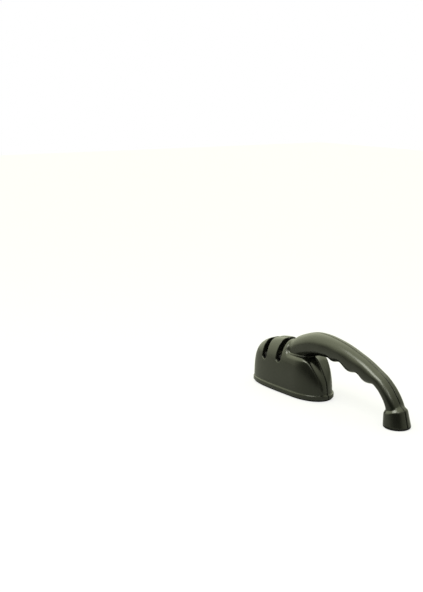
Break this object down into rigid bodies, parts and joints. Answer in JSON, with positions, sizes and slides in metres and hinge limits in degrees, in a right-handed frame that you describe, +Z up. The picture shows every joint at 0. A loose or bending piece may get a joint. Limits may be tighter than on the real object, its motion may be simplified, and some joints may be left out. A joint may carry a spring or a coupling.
{
  "type": "pull-through knife sharpener",
  "caption": "Two-stage pull-through blade sharpener with a rounded body, two guide slots, an arched finger-grip handle and a round foot.",
  "frame": {"origin": "on the resting plane, at the middle of the overall length and width", "axes": "+X from the nose of the body to the foot, +Z up, Y across the seam"},
  "size_m": [0.2057, 0.0438, 0.0687],
  "materials": {
    "shell": "satin moulded, dark olive grey",
    "plate": "satin moulded",
    "pad": "soft, fine grain",
    "screw": "zinc plated",
    "cradle": "moulded",
    "shaft": "ground",
    "coarse_disc": "hardened, fine cross grain",
    "fine_disc": "fired ceramic",
    "spacer": "turned"
  },
  "bodies": {
    "sharpener": {"shell_left": "shell", "shell_right": "shell", "base_plate": "plate", "base_pad": "pad", "base_screws": "screw", "foot_plug": "plate", "foot_pad": "pad", "coarse_cradle": "cradle", "fine_cradle": "cradle", "cradle_screws": "screw"},
    "coarse_front_roller": {"coarse_front_shaft": "shaft", "coarse_front_discs": "coarse_disc", "coarse_front_spacers": "spacer"},
    "coarse_rear_roller": {"coarse_rear_shaft": "shaft", "coarse_rear_discs": "coarse_disc", "coarse_rear_spacers": "spacer"},
    "fine_front_roller": {"fine_front_shaft": "shaft", "fine_front_discs": "fine_disc", "fine_front_spacers": "spacer"},
    "fine_rear_roller": {"fine_rear_shaft": "shaft", "fine_rear_discs": "fine_disc", "fine_rear_spacers": "spacer"}
  },
  "joints": [
    {"name": "coarse_front_spin", "type": "hinge", "parent": "sharpener", "child": "coarse_front_roller", "pos_m": [-0.0826, 0, 0.0304], "axis": [0, 1, 0], "continuous": true},
    {"name": "coarse_rear_spin", "type": "hinge", "parent": "sharpener", "child": "coarse_rear_roller", "pos_m": [-0.0732, 0, 0.0304], "axis": [0, 1, 0], "continuous": true},
    {"name": "fine_front_spin", "type": "hinge", "parent": "sharpener", "child": "fine_front_roller", "pos_m": [-0.0604, 0, 0.0324], "axis": [0, 1, 0], "continuous": true},
    {"name": "fine_rear_spin", "type": "hinge", "parent": "sharpener", "child": "fine_rear_roller", "pos_m": [-0.051, 0, 0.0324], "axis": [0, 1, 0], "continuous": true}
  ]
}
